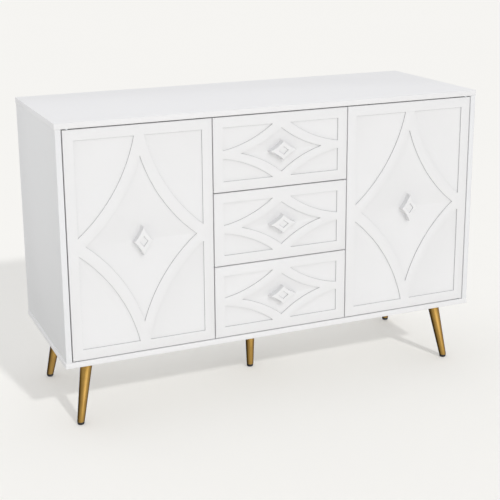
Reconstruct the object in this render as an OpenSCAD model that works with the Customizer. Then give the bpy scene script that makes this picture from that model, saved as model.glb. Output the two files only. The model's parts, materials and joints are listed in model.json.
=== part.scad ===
// Sideboard buffet: two doors and three drawers on five splayed, tapered legs.
// Millimetres. X runs along the width, the front faces -Y, Z is up, and the origin is on the
// floor under the middle of the cabinet.

/* [Cabinet] */
// Width over the top panel
cabinet_w = 1200; // [900:10:1800]
// Depth from the fronts to the back
cabinet_d = 440; // [320:5:520]
// Height of the cabinet without its legs
cabinet_h = 630; // [500:5:800]
// Thickness of the top, bottom, sides, partitions and shelves
panel_t = 15; // [12:0.5:22]
// How far the sides stand in from the ends of the top and bottom
side_inset = 1.5; // [0:0.5:5]
// Thickness of the back panel
back_t = 4; // [3:0.5:6]
// Width of the rebate that the back panel sits in
back_lap = 7; // [5:0.5:9]
// Distance from the back of a closed front to the partitions and bumpers
front_setback = 2; // [1.5:0.25:4]

/* [Fronts] */
// Width of the middle, drawer column
drawer_column_w = 385; // [320:5:480]
// Gap around every door and drawer front
reveal = 3; // [2:0.25:5]
// Thickness of the doors and drawer fronts
front_t = 15; // [14:0.5:22]
// Depth of the sunk pattern
pocket_depth = 3; // [1:0.25:4]
// Plain border around the sunk pattern
border = 26.5; // [18:0.5:40]

/* [Door pattern] */
// Distance from the border to the side tips of the door's diamond
door_tip_side = 18; // [10:0.5:30]
// Distance from the border to the top and bottom tips of the door's diamond
door_tip_end = 50; // [30:1:70]
// Half of the border between two corner pockets, along the door's top edge
door_corner_end = 13; // [8:1:25]
// Half of the border between two corner pockets, along the door's side edge
door_corner_side = 22; // [12:1:35]
// Radius of the curved edges on a door
door_arc_r = 444; // [350:2:600]

/* [Drawer pattern] */
// Distance from the border to the side tips of the drawer's diamond
drawer_tip_side = 48; // [30:0.5:70]
// Distance from the border to the top and bottom tips of the drawer's diamond
drawer_tip_end = 12; // [6:1:20]
// Half of the border between two corner pockets, along the drawer's top edge
drawer_corner_end = 24; // [15:1:35]
// Half of the border between two corner pockets, along the drawer's side edge
drawer_corner_side = 10; // [6:0.5:16]
// Radius of the curved edges on a drawer
drawer_arc_r = 307; // [250:1:450]

/* [Knobs] */
// Length from tip to tip
knob_long = 82; // [60:1:90]
// Width from tip to tip
knob_short = 53; // [36:1:56]
// Height above the sunk face
knob_h = 16; // [11:0.5:25]
// Radius of the four hollow sides
knob_arc_r = 96; // [75:1:150]
// How much the hollow sides lean in from base to face
knob_draft = 1.6; // [0:0.1:3]
// Length of the rhombus sunk into the face
knob_recess_long = 30; // [16:1:34]
// Width of the rhombus sunk into the face
knob_recess_short = 23; // [12:1:24]
// Depth of the rhombus
knob_recess_depth = 2.5; // [1:0.25:3]
// Depth of the screw hole in the back of the knob
knob_bore_depth = 8; // [5:0.5:8]
// Diameter of a knob screw
knob_screw_d = 4; // [3:0.5:5]
// Diameter of a knob screw's head
knob_screw_head_d = 9; // [7:0.5:10]
// Height of a knob screw's head
knob_screw_head_h = 2.5; // [2:0.25:3]

/* [Drawers] */
// Thickness of a drawer box's sides and back
box_t = 12; // [10:0.5:16]
// Height of a drawer box
box_h = 120; // [80:5:130]
// Distance from a drawer box to the back panel
box_back_gap = 36; // [15:1:90]
// Distance from the bottom of the front to the bottom of the box
box_lift = 25; // [15:1:35]
// Thickness of the drawer bottom
box_floor_t = 4; // [3:0.5:6]
// How far the drawer bottom is let into its grooves
box_groove = 5; // [3:0.5:7]
// Height of the side below the drawer bottom
box_rail = 10; // [6:1:16]
// Space between a drawer box and a partition, which holds the runners
runner_space = 12.5; // [12:0.25:15]
// Height of the cabinet's runner channel
runner_h = 40; // [30:1:46]
// Thickness of the runner steel
runner_t = 1.5; // [1:0.25:2]
// Clearance between the two runner channels
runner_gap = 0.5; // [0.4:0.05:1]
// Width of the cabinet's runner channel
runner_wide = 10; // [8:0.25:11]
// Width of the drawer's runner channel
slide_wide = 8; // [6:0.25:9]
// Distance from the front of the partitions to the runners
runner_set = 2; // [1:0.5:6]
// Distance from the back of a drawer box to the ends of its runners
runner_end_gap = 1; // [0:1:30]

/* [Shelves] */
// Distance from the front of the partitions to a shelf
shelf_set = 38; // [10:1:80]
// Clearance at each end of a shelf
shelf_gap = 1; // [0.5:0.25:3]
// Distance from the back panel to a shelf
shelf_back_gap = 6; // [0:1:20]
// Spacing of the shelf pin holes
pin_pitch = 32; // [24:1:64]
// Diameter of a shelf pin
pin_d = 5; // [4:0.5:7]
// Depth of a shelf pin's hole
pin_seat = 8; // [6:0.5:10]
// Length of a pin under the shelf
pin_out = 9; // [6:0.5:14]
// Distance from a shelf's front or back edge to its pins
pin_edge = 35; // [20:1:60]

/* [Door pivots] */
// Distance from a door's outer edge to its pivot
pivot_in = 12; // [9:0.5:16]
// Diameter of the pivot pin
pivot_d = 6; // [5:0.5:8]
// Clearance around the pin in its bushing
pivot_gap = 0.35; // [0.3:0.05:0.6]
// How far a pin is set into the top or bottom
pivot_seat = 10; // [6:0.5:11]
// How far a pin reaches into the door
pivot_reach = 8; // [5:0.5:12]
// Space left above a pin in its bushing
pivot_end_gap = 2; // [1:0.5:4]
// Diameter of the collar on a pin
pivot_collar_d = 14; // [10:0.5:15]
// Thickness of the collar
pivot_collar_t = 1.2; // [0.8:0.1:1.5]
// Wall of the bushing in the door
bushing_wall = 2; // [1.5:0.25:2.5]

/* [Catches and bumpers] */
// Width of a magnetic catch
catch_w = 12; // [8:1:20]
// Depth of a magnetic catch
catch_d = 20; // [14:1:30]
// Height of a magnetic catch
catch_h = 45; // [30:1:60]
// Distance from the top panel to a catch
catch_drop = 40; // [20:1:80]
// Gap between a catch and the door's strike plate
catch_gap = 0.6; // [0.4:0.1:1]
// Width of a strike plate
strike_w = 15; // [10:1:20]
// Height of a strike plate
strike_h = 36; // [20:1:45]
// Thickness of a strike plate
strike_t = 1; // [0.5:0.1:1.2]
// Diameter of a rubber bumper
bumper_d = 5; // [3:0.5:5.5]
// Gap between a bumper and a closed front
bumper_gap = 0.6; // [0.4:0.1:1]
// Distance from a door's top or bottom edge to its bumper
bumper_end = 25; // [10:1:60]

/* [Legs] */
// Height of the legs, from the floor to the cabinet
leg_h = 180; // [120:5:260]
// Diameter of a leg at the cabinet
leg_top_d = 33; // [22:0.5:36]
// Diameter of a leg at its foot
leg_foot_d = 19; // [12:0.5:22]
// Wall of the tapered leg tube
leg_wall = 1.5; // [1:0.25:2.5]
// Distance from the cabinet's end to a foot's centre
foot_in_x = 42; // [30:1:60]
// Distance from the cabinet's front or back to a foot's centre
foot_in_y = 48; // [35:1:60]
// How far a leg's top leans in along the width
lean_x = 32; // [0:1:60]
// How far a leg's top leans in along the depth
lean_y = 25; // [0:1:45]
// Height of the black glide under a leg
glide_h = 8; // [5:0.5:14]
// Side of the square mounting plate
plate_side = 86; // [70:1:100]
// Thickness of the mounting plate
plate_t = 2.5; // [2:0.25:4]
// Distance from the plate's edges to its screws
plate_edge = 10; // [7:1:14]
// Solid stretch at the top of a leg
leg_cap = 12; // [6:1:20]
// Diameter of the threaded stud
stud_d = 8; // [6:1:10]
// Length of the stud above the leg
stud_l = 10; // [7:0.5:11]
// Height of a glide's rounded edge
glide_edge = 2; // [1:0.5:3]
// Length of a glide's plug in the leg
plug_l = 6; // [4:1:10]
// Space around a glide's plug in the leg
plug_gap = 2; // [1.5:0.25:3]

/* [Fasteners] */
// Diameter of a cam
cam_d = 15; // [12:0.5:18]
// Length of a cam
cam_h = 11; // [8:0.5:11]
// Distance from the cabinet's front and back to the cams
cam_edge = 70; // [50:1:90]
// Distance from a panel's end to its cam
cam_in = 34; // [24:1:40]
// Diameter of a cam bolt
cam_bolt_d = 7; // [5:0.5:8]
// How far a cam bolt is set into the top or bottom
cam_bolt_seat = 9; // [6:0.5:10]
// Diameter of a wood screw
screw_d = 3.5; // [3:0.25:4.5]
// Diameter of a screw head
screw_head_d = 7; // [6:0.25:7]
// Length of a back panel screw
back_screw_l = 14; // [12:1:20]
// Height of a back panel screw's countersunk head
back_head_h = 2; // [1.5:0.25:2.5]
// Length of a runner screw
runner_screw_l = 11; // [8:0.5:12]
// Height of a runner screw's head
runner_head_h = 1; // [0.5:0.1:1.2]
// Length of a plate screw under its head
plate_screw_l = 13; // [10:0.5:14]
// Height of a plate screw's head
plate_head_h = 1.8; // [1:0.1:2.5]

/* [Hidden] */
$fn = 64;
eps = 0.01;
// Space left at the closed end of a screw, bolt or cam hole
end_gap = 0.5;
// Length and depth of a driver's cross slot: a share of the head's diameter, and millimetres
slot_share = 0.6;
slot_depth = 1.4;
white = "#EEEEEC";
gold = "#C2A15A";
steel = "#B9BCBE";

half_w = cabinet_w / 2;
half_d = cabinet_d / 2;
front_y = -half_d;
base_z = leg_h;
roof_z = leg_h + cabinet_h;
floor_in = base_z + panel_t;
roof_in = roof_z - panel_t;
side_in = half_w - side_inset - panel_t;
mid_z = (base_z + roof_z) / 2;

// Fronts: columns and drawers share out the space between the sides.
front_back_y = front_y + front_t;
pocket_y = front_y + pocket_depth;
door_w = (2 * side_in - drawer_column_w - 4 * reveal) / 2;
door_h = roof_in - floor_in - 2 * reveal;
door_x = side_in - reveal - door_w / 2;
drawer_n = 3;
drawer_h = (roof_in - floor_in - (drawer_n + 1) * reveal) / drawer_n;
drawer_z = [for (i = [0 : drawer_n - 1]) roof_in - reveal - drawer_h / 2 - i * (drawer_h + reveal)];

// Partitions stand behind the gaps between the columns.
partition_x = drawer_column_w / 2 + reveal / 2;
partition_in = partition_x - panel_t / 2;
partition_out = partition_x + panel_t / 2;
inner_y = front_back_y + front_setback;
back_in = half_d - back_t;

// Door pivots
pivot_x = side_in - reveal - pivot_in;
pivot_y = front_y + front_t / 2;
bushing_h = pivot_reach + pivot_end_gap;
bushing_bore = pivot_d + 2 * pivot_gap;
bushing_d = bushing_bore + 2 * bushing_wall;

// Drawer boxes and runners
box_out = partition_in - runner_space;
box_in = box_out - box_t;
box_back = back_in - box_back_gap;
box_bottom = [for (z = drawer_z) z - drawer_h / 2 + box_lift];
runner_z = [for (z = box_bottom) z + box_h / 2];
runner_y = inner_y + runner_set;
slide_h = runner_h - 2 * runner_t - 2 * runner_gap;
runner_end = box_back - runner_end_gap;
runner_screw_y = spread(runner_y, runner_end, 3);

// Shelves rest on pins in the sides and the partitions.
shelf_back = back_in - shelf_back_gap;
shelf_front = inner_y + shelf_set;
shelf_z = mid_z - panel_t / 2;
pin_y = [shelf_front + pin_edge, shelf_back - pin_edge];
pin_z = shelf_z - pin_d / 2;

// Cams at the ends of the four uprights
cam_y = [front_y + cam_edge, half_d - cam_edge];
cam_z = [floor_in + cam_in, roof_in - cam_in];

// Middles of the strips where the partitions back the doors and the drawers
lap = (panel_t - reveal) / 2;
door_lap_x = partition_out - lap / 2;
drawer_lap_x = partition_in + lap / 2;
door_bumper_z = [mid_z - door_h / 2 + bumper_end, mid_z + door_h / 2 - bumper_end];
catch_z = roof_in - catch_drop - catch_h / 2;

// Legs: the four corner legs splay, the centre leg stands upright.
leg_top_z = base_z - plate_t;
foot_x = half_w - foot_in_x;
foot_y = half_d - foot_in_y;
top_x = foot_x - lean_x;
top_y = foot_y - lean_y;
corner_signs = [[-1, -1], [1, -1], [-1, 1], [1, 1]];
leg_tops = concat([for (s = corner_signs) [s[0] * top_x, s[1] * top_y]], [[0, 0]]);
plug_d = leg_foot_d - 2 * leg_wall - 2 * plug_gap;
// Turn of each leg's cone about its own axis
seam_turn = 90;

// The middles of n equal stretches between two values
function spread(low, high, n) = [for (i = [0 : n - 1]) low + (i + 0.5) * (high - low) / n];

// ---------- Helpers ----------

// A board between two opposite corners
module board(low, high) {
    translate(low) cube(high - low);
}

// A cylinder from a point towards the front (-Y) or, with a negative length, towards the back
module rod_y(at, l, d1, d2) {
    translate(at) rotate([90, 0, 0]) cylinder(h = l, d1 = d1, d2 = d2);
}

// A cylinder from a point along +X
module rod_x(at, l, d) {
    translate(at) rotate([0, 90, 0]) cylinder(h = l, d = d);
}

// Cross slot for a driver, cut from z = 0 both ways
module cross_slot(l) {
    for (turn = [0, 90])
        rotate([0, 0, turn]) cube([l, 0.2 * l, 2 * slot_depth], center = true);
}

// Draws its children at the left and, mirrored, at the right
module both_sides() {
    children();
    mirror([1, 0, 0]) children();
}

// Centre of the circle of radius r through p and q, on the left of the line from p to q
function arc_centre(p, q, r) =
    let (m = (p + q) / 2, d = q - p, c = norm(d), h = sqrt(r * r - c * c / 4))
    m + h * [-d[1], d[0]] / c;

// Concave four-point star with half sizes a and b, centred on the origin
module star_2d(a, b, r) {
    centre = arc_centre([0, b], [a, 0], r);
    difference() {
        polygon([[a, 0], [0, b], [-a, 0], [0, -b]]);
        for (sx = [-1, 1], sy = [-1, 1])
            translate([sx * centre[0], sy * centre[1]]) circle(r = r, $fn = 256);
    }
}

// The part of a corner that lies outside the curve from [p, half_h] to [half_w, q]
module corner_2d(field, p, q, r) {
    centre = arc_centre([p, field[1]], [field[0], q], r);
    intersection() {
        square(field);
        translate(centre) circle(r = r, $fn = 256);
    }
}

// Sunk pattern of one front: tips = [side, end], corner = [end, side], both from the border
module pattern_2d(w, h, tips, corner, r) {
    field = [w / 2 - border, h / 2 - border];
    star_2d(field[0] - tips[0], field[1] - tips[1], r);
    for (sx = [0, 1], sy = [0, 1])
        mirror([sx, 0]) mirror([0, sy]) corner_2d(field, corner[0], corner[1], r);
}

// A front with its sunk pattern and the knob's screw hole, centred at x and z
module front_panel(x, z, w, h, tips, corner, r) {
    difference() {
        board([x - w / 2, front_y, z - h / 2], [x + w / 2, front_back_y, z + h / 2]);
        translate([x, pocket_y, z]) rotate([90, 0, 0])
            linear_extrude(pocket_depth + 1) pattern_2d(w, h, tips, corner, r);
        rod_y([x, front_back_y + 1, z], front_t + 2, knob_screw_d, knob_screw_d);
    }
}

// A star knob with its long axis upright, on the sunk face at x and z
module knob(x, z) {
    a = knob_short / 2;
    b = knob_long / 2;
    centre = arc_centre([0, b], [a, 0], knob_arc_r);
    translate([x, pocket_y, z]) rotate([90, 0, 0])
        difference() {
            linear_extrude(knob_h) polygon([[a, 0], [0, b], [-a, 0], [0, -b]]);
            for (sx = [-1, 1], sy = [-1, 1])
                translate([sx * centre[0], sy * centre[1], 0])
                    cylinder(h = knob_h, r1 = knob_arc_r, r2 = knob_arc_r + knob_draft, $fn = 128);
            translate([0, 0, knob_h - knob_recess_depth])
                linear_extrude(knob_recess_depth + 1)
                    polygon([[knob_recess_short / 2, 0], [0, knob_recess_long / 2],
                             [-knob_recess_short / 2, 0], [0, -knob_recess_long / 2]]);
            translate([0, 0, -1]) cylinder(h = knob_bore_depth + 1, d = knob_screw_d);
        }
}

// Knob screw, driven from the back of a front
module knob_screw(x, z) {
    color(steel) difference() {
        union() {
            rod_y([x, front_back_y + knob_screw_head_h, z], knob_screw_head_h,
                  knob_screw_head_d, knob_screw_head_d);
            rod_y([x, front_back_y + eps, z], front_t - pocket_depth + knob_bore_depth - end_gap,
                  knob_screw_d, knob_screw_d);
        }
        translate([x, front_back_y + knob_screw_head_h, z]) rotate([90, 0, 0])
            cross_slot(slot_share * knob_screw_head_d);
    }
}

// ---------- Cabinet ----------

// Seats in the top or bottom for cam bolts and pivot pins; z is the inner face, up is +1 or -1
module end_seats(z, up) {
    for (sx = [-1, 1]) {
        for (x = [side_in + panel_t / 2, partition_x], y = cam_y)
            translate([sx * x, y, z]) rotate([up > 0 ? 0 : 180, 0, 0])
                translate([0, 0, -1]) cylinder(h = cam_bolt_seat + 1, d = cam_bolt_d);
        translate([sx * pivot_x, pivot_y, z]) rotate([up > 0 ? 0 : 180, 0, 0])
            translate([0, 0, -1]) cylinder(h = pivot_seat + 1, d = pivot_d);
    }
}

// Places of the back panel's screws, as [x, z]: along every upright, the top and the bottom
function back_screws_at() = let (
        edge_x = side_in + back_lap / 2, low = floor_in - back_lap / 2, high = roof_in + back_lap / 2)
    concat(
        [for (x = [-edge_x, -partition_x, partition_x, edge_x], z = spread(low, high, 3)) [x, z]],
        [for (x = spread(-side_in, side_in, 4), z = [low, high]) [x, z]]);

module back_screw_holes() {
    for (p = back_screws_at())
        rod_y([p[0], back_in + 1, p[1]], back_screw_l - back_t + 1, screw_d, screw_d);
}

// Rebate for the back panel, as one block
module back_rebate() {
    board([-side_in - back_lap, back_in, floor_in - back_lap],
          [side_in + back_lap, half_d + 1, roof_in + back_lap]);
}

module top_panel() {
    color(white) difference() {
        board([-half_w, front_y, roof_in], [half_w, half_d, roof_z]);
        back_rebate();
        end_seats(roof_in, 1);
        back_screw_holes();
    }
}

module bottom_panel() {
    color(white) difference() {
        board([-half_w, front_y, base_z], [half_w, half_d, floor_in]);
        back_rebate();
        end_seats(floor_in, -1);
        back_screw_holes();
        for (p = leg_tops) {
            translate([p[0], p[1], leg_top_z]) cylinder(h = stud_l + end_gap, d = stud_d);
            plate_screws_at(p) translate([0, 0, leg_top_z]) cylinder(h = plate_screw_l, d = screw_d);
        }
    }
}

// Cam and cam bolt holes of an upright whose middle is at x; face is the cams' side, +1 or -1
module cam_holes(x, face) {
    for (y = cam_y) {
        for (z = cam_z)
            translate([x + face * (panel_t / 2 + 1), y, z]) rotate([0, -face * 90, 0])
                cylinder(h = cam_h + end_gap + 1, d = cam_d);
        translate([x, y, floor_in - 1]) cylinder(h = cam_in + 1, d = cam_bolt_d);
        translate([x, y, roof_in - cam_in]) cylinder(h = cam_in + 1, d = cam_bolt_d);
    }
}

// Shelf pin holes in the face of an upright at x, drilled along dir, +1 or -1
module pin_holes(x, dir) {
    for (y = pin_y, row = [-1, 0, 1])
        translate([x - dir, y, pin_z + row * pin_pitch]) rotate([0, dir * 90, 0])
            cylinder(h = pin_seat + 1, d = pin_d);
}

// The left side; the right one is its mirror image
module side() {
    difference() {
        board([-side_in - panel_t, front_y, floor_in], [-side_in, half_d, roof_in]);
        back_rebate();
        cam_holes(-side_in - panel_t / 2, 1);
        pin_holes(-side_in, -1);
        back_screw_holes();
    }
}

module left_side() {
    color(white) side();
}

module right_side() {
    color(white) mirror([1, 0, 0]) side();
}

// The left partition; the right one is its mirror image
module partition() {
    difference() {
        board([-partition_out, inner_y, floor_in], [-partition_in, back_in, roof_in]);
        cam_holes(-partition_x, -1);
        pin_holes(-partition_out, 1);
        back_screw_holes();
        for (z = runner_z, y = runner_screw_y)
            rod_x([-partition_in - runner_screw_l + runner_t, y, z], runner_screw_l, screw_d);
    }
}

module left_partition() {
    color(white) partition();
}

module right_partition() {
    color(white) mirror([1, 0, 0]) partition();
}

// Seat of a back panel screw's head: the head's cone carried on a little past both ends
module countersink(at) {
    over = 0.5;
    slope = (screw_head_d - screw_d) / back_head_h;
    rod_y([at[0], at[1] + over, at[2]], back_head_h + 2 * over,
          screw_head_d + slope * over, screw_d - slope * over);
}

module back_panel() {
    color(white) difference() {
        board([-side_in - back_lap, back_in, floor_in - back_lap],
              [side_in + back_lap, half_d, roof_in + back_lap]);
        for (p = back_screws_at()) {
            rod_y([p[0], half_d + 1, p[1]], back_t + 2, screw_d, screw_d);
            countersink([p[0], half_d, p[1]]);
        }
    }
}

module back_screws() {
    color(steel) for (p = back_screws_at()) {
        rod_y([p[0], half_d, p[1]], back_head_h, screw_head_d, screw_d);
        rod_y([p[0], half_d - back_head_h, p[1]], back_screw_l - back_head_h, screw_d, screw_d);
    }
}

module left_shelf() {
    color(white)
        board([-side_in + shelf_gap, shelf_front, shelf_z],
              [-partition_out - shelf_gap, shelf_back, shelf_z + panel_t]);
}

module right_shelf() {
    mirror([1, 0, 0]) left_shelf();
}

module shelf_pins() {
    color(steel) both_sides() for (y = pin_y) {
        rod_x([-side_in - pin_seat, y, pin_z], pin_seat + pin_out, pin_d);
        rod_x([-partition_out - pin_out, y, pin_z], pin_seat + pin_out, pin_d);
    }
}

// Places of the cams on the left half, as [x of the open face, side that it opens to]
cam_faces = [[-side_in, 1], [-partition_out, -1]];

module cam_discs() {
    color(steel) both_sides()
        for (f = cam_faces, y = cam_y, z = cam_z)
            translate([f[0], y, z]) rotate([0, -f[1] * 90, 0]) difference() {
                cylinder(h = cam_h, d = cam_d);
                cross_slot(slot_share * cam_d);
            }
}

module cam_bolts() {
    reach = cam_in - cam_d / 2;
    color(steel) both_sides()
        for (x = [-side_in - panel_t / 2, -partition_x], y = cam_y) {
            translate([x, y, floor_in - cam_bolt_seat])
                cylinder(h = cam_bolt_seat + reach - end_gap, d = cam_bolt_d);
            translate([x, y, roof_in - reach + end_gap])
                cylinder(h = cam_bolt_seat + reach - end_gap, d = cam_bolt_d);
        }
}

// ---------- Legs ----------

// Draws its children at the four screws of the plate at p
module plate_screws_at(p) {
    reach = plate_side / 2 - plate_edge;
    for (s = corner_signs)
        translate([p[0] + s[0] * reach, p[1] + s[1] * reach, 0]) children();
}

module leg_plates() {
    color(steel) for (p = leg_tops) difference() {
        translate([p[0] - plate_side / 2, p[1] - plate_side / 2, leg_top_z])
            cube([plate_side, plate_side, plate_t]);
        translate([p[0], p[1], leg_top_z - 1]) cylinder(h = plate_t + 2, d = stud_d);
        plate_screws_at(p) translate([0, 0, leg_top_z - 1]) cylinder(h = plate_t + 2, d = screw_d);
    }
}

module leg_plate_screws() {
    color(steel) for (p = leg_tops) plate_screws_at(p) {
        translate([0, 0, leg_top_z - plate_head_h]) cylinder(h = plate_head_h, d = screw_head_d);
        translate([0, 0, leg_top_z - eps]) cylinder(h = plate_screw_l + eps, d = screw_d);
    }
}

// Turns the Z axis into the line from a leg's foot point to its top point
module along_leg(foot, top) {
    dir = top - foot;
    translate(foot) rotate([0, acos(dir[2] / norm(dir)), atan2(dir[1], dir[0])])
        rotate([0, 0, seam_turn]) children();
}

// Stretch of the leg's cone between two distances from the foot, thinner by wall all round
module leg_cone(l, from, to, wall) {
    slope = (leg_top_d - leg_foot_d) / l;
    translate([0, 0, from])
        cylinder(h = to - from, d1 = leg_foot_d + slope * from - 2 * wall,
                 d2 = leg_foot_d + slope * to - 2 * wall);
}

// One leg: a closed tapered tube with a threaded stud
module leg(foot, top) {
    l = norm(top - foot);
    over = 20;
    reach = 120;
    color(gold) {
        difference() {
            intersection() {
                along_leg(foot, top) leg_cone(l, -over, l + over, 0);
                translate([foot[0] - reach, foot[1] - reach, glide_h])
                    cube([2 * reach, 2 * reach, leg_top_z - glide_h]);
            }
            along_leg(foot, top) leg_cone(l, 0, l - leg_cap, leg_wall);
        }
        translate([top[0], top[1], leg_top_z - leg_cap / 4])
            cylinder(h = stud_l + leg_cap / 4, d = stud_d);
    }
}

// Foot and top points of the corner leg on the side given by the signs s
function foot_at(s) = [s[0] * foot_x, s[1] * foot_y, 0];
function top_at(s) = [s[0] * top_x, s[1] * top_y, base_z];

module corner_leg(s) {
    leg(foot_at(s), top_at(s));
}

module front_left_leg() {
    corner_leg([-1, -1]);
}

module front_right_leg() {
    corner_leg([1, -1]);
}

module rear_left_leg() {
    corner_leg([-1, 1]);
}

module rear_right_leg() {
    corner_leg([1, 1]);
}

module centre_leg() {
    leg([0, 0, 0], [0, 0, base_z]);
}

// Point of a leg's axis at height z
function axis_at(foot, top, z) = foot + (top - foot) * z / (top[2] - foot[2]);

// One glide: a rounded foot, and a short plug that reaches up into the leg tube
module glide(foot, top) {
    head = axis_at(foot, top, glide_h);
    plug = axis_at(foot, top, glide_h + plug_l / 2);
    color("black") {
        translate([head[0], head[1], 0]) {
            cylinder(h = glide_edge, d1 = leg_foot_d - 2 * glide_edge, d2 = leg_foot_d);
            translate([0, 0, glide_edge]) cylinder(h = glide_h - glide_edge, d = leg_foot_d);
        }
        translate([plug[0], plug[1], glide_h - 1]) cylinder(h = plug_l + 1, d = plug_d);
    }
}

module glides() {
    for (s = corner_signs)
        glide(foot_at(s), top_at(s));
    glide([0, 0, 0], [0, 0, base_z]);
}

// ---------- Door hardware on the cabinet ----------

module pivot_pins() {
    color(steel) both_sides() for (turn = [0, 1]) {
        z = turn == 0 ? floor_in : roof_in;
        translate([-pivot_x, pivot_y, z]) rotate([turn * 180, 0, 0]) {
            translate([0, 0, -pivot_seat]) cylinder(h = pivot_seat + reveal + pivot_reach, d = pivot_d);
            cylinder(h = pivot_collar_t, d = pivot_collar_d);
        }
    }
}

module magnet_catches() {
    y0 = front_back_y + strike_t + catch_gap;
    color("#DADADA") both_sides()
        board([-partition_out - catch_w, y0, catch_z - catch_h / 2],
              [-partition_out, y0 + catch_d, catch_z + catch_h / 2]);
}

module bumpers() {
    l = front_setback - bumper_gap;
    color("#D8D8D4") both_sides() {
        for (z = door_bumper_z)
            rod_y([-door_lap_x, inner_y, z], l, bumper_d, bumper_d);
        for (z = drawer_z)
            rod_y([-drawer_lap_x, inner_y, z], l, bumper_d, bumper_d);
    }
}

// ---------- Runners ----------

// Channel open towards +X: web at x, between two heights and two depths
module channel(x, wide, z, h, t, y0, y1) {
    difference() {
        board([x, y0, z - h / 2], [x + wide, y1, z + h / 2]);
        board([x + t, y0 - 1, z - h / 2 + t], [x + wide + 1, y1 + 1, z + h / 2 - t]);
    }
}

module cabinet_runners() {
    color(steel) both_sides() for (z = runner_z) difference() {
        channel(-partition_in, runner_wide, z, runner_h, runner_t, runner_y, runner_end);
        for (y = runner_screw_y)
            rod_x([-partition_in - 1, y, z], runner_t + 2, screw_d);
    }
}

module runner_screws() {
    color(steel) both_sides() for (z = runner_z, y = runner_screw_y) {
        rod_x([-partition_in - runner_screw_l + runner_t, y, z], runner_screw_l + eps, screw_d);
        rod_x([-partition_in + runner_t, y, z], runner_head_h, screw_head_d);
    }
}

// ---------- Doors ----------

// Left and right doors are mirror images; side is -1 or +1.
module door(side) {
    difference() {
        front_panel(side * door_x, mid_z, door_w, door_h, [door_tip_side, door_tip_end],
                    [door_corner_end, door_corner_side], door_arc_r);
        for (up = [0, 1])
            translate([side * pivot_x, pivot_y, mid_z]) rotate([up * 180, 0, 0])
                translate([0, 0, door_h / 2 - bushing_h]) cylinder(h = bushing_h + 1, d = bushing_d);
    }
}

module door_bushings(side) {
    color("#F2F2F2") for (up = [0, 1])
        translate([side * pivot_x, pivot_y, mid_z]) rotate([up * 180, 0, 0])
            translate([0, 0, door_h / 2 - bushing_h]) difference() {
                cylinder(h = bushing_h, d = bushing_d);
                translate([0, 0, -1]) cylinder(h = bushing_h + 2, d = bushing_bore);
            }
}

module door_strike(side) {
    x = side * (partition_out + catch_w / 2);
    color(steel)
        board([x - strike_w / 2, front_back_y, catch_z - strike_h / 2],
              [x + strike_w / 2, front_back_y + strike_t, catch_z + strike_h / 2]);
}

module left_door() {
    color(white) door(-1);
}

module right_door() {
    color(white) door(1);
}

module left_door_knob() {
    color(white) knob(-door_x, mid_z);
}

module right_door_knob() {
    color(white) knob(door_x, mid_z);
}

module left_door_knob_screw() {
    knob_screw(-door_x, mid_z);
}

module right_door_knob_screw() {
    knob_screw(door_x, mid_z);
}

module left_door_bushings() {
    door_bushings(-1);
}

module right_door_bushings() {
    door_bushings(1);
}

module left_door_strike() {
    door_strike(-1);
}

module right_door_strike() {
    door_strike(1);
}

// ---------- Drawers: 1 is the top one ----------

module drawer_front(i) {
    floor_z = box_bottom[i] + box_rail;
    color(white) difference() {
        front_panel(0, drawer_z[i], drawer_column_w, drawer_h, [drawer_tip_side, drawer_tip_end],
                    [drawer_corner_end, drawer_corner_side], drawer_arc_r);
        board([-box_in - box_groove, front_back_y - box_groove, floor_z],
              [box_in + box_groove, front_back_y + 1, floor_z + box_floor_t]);
    }
}

module drawer_knob(i) {
    color(white) translate([0, 0, drawer_z[i]]) rotate([0, 90, 0]) knob(0, 0);
}

module drawer_left_side(i) {
    floor_z = box_bottom[i] + box_rail;
    color(white) difference() {
        board([-box_out, front_back_y, box_bottom[i]], [-box_in, box_back, box_bottom[i] + box_h]);
        board([-box_in - box_groove, front_back_y - 1, floor_z],
              [-box_in + 1, box_back + 1, floor_z + box_floor_t]);
    }
}

module drawer_right_side(i) {
    mirror([1, 0, 0]) drawer_left_side(i);
}

module drawer_back(i) {
    floor_z = box_bottom[i] + box_rail;
    color(white)
        board([-box_in, box_back - box_t, floor_z + box_floor_t],
              [box_in, box_back, box_bottom[i] + box_h]);
}

module drawer_bottom(i) {
    floor_z = box_bottom[i] + box_rail;
    color(white)
        board([-box_in - box_groove, front_back_y - box_groove, floor_z],
              [box_in + box_groove, box_back, floor_z + box_floor_t]);
}

module drawer_runners(i) {
    color(steel) both_sides()
        mirror([1, 0, 0])
            channel(box_out, slide_wide, runner_z[i], slide_h, runner_t, runner_y, runner_end);
}

// ---------- Assembly ----------

top_panel();
bottom_panel();
left_side();
right_side();
left_partition();
right_partition();
back_panel();
back_screws();
left_shelf();
right_shelf();
shelf_pins();
cam_discs();
cam_bolts();
leg_plates();
leg_plate_screws();
front_left_leg();
front_right_leg();
rear_left_leg();
rear_right_leg();
centre_leg();
glides();
cabinet_runners();
runner_screws();
pivot_pins();
magnet_catches();
bumpers();
left_door();
left_door_knob();
left_door_knob_screw();
left_door_bushings();
left_door_strike();
right_door();
right_door_knob();
right_door_knob_screw();
right_door_bushings();
right_door_strike();
for (i = [0 : drawer_n - 1]) {
    drawer_front(i);
    drawer_knob(i);
    knob_screw(0, drawer_z[i]);
    drawer_left_side(i);
    drawer_right_side(i);
    drawer_back(i);
    drawer_bottom(i);
    drawer_runners(i);
}
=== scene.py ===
# %% [markdown]
# # A white sideboard on brass-toned legs
# The cabinet's structure arrives as a fixed frame: boards, runners, pivots and legs, each in its
# place, in metres. This notebook dresses that frame. Boards and fronts get softened edges and a
# satin lacquer, the knobs their sculpted form, the legs a brushed brass finish, and the fittings
# inside get zinc, nylon and rubber. The front faces -Y, and Z is up.

# %% Open the frame
import json
import math

import bmesh
import bpy
from mathutils import Matrix, Vector


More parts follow.
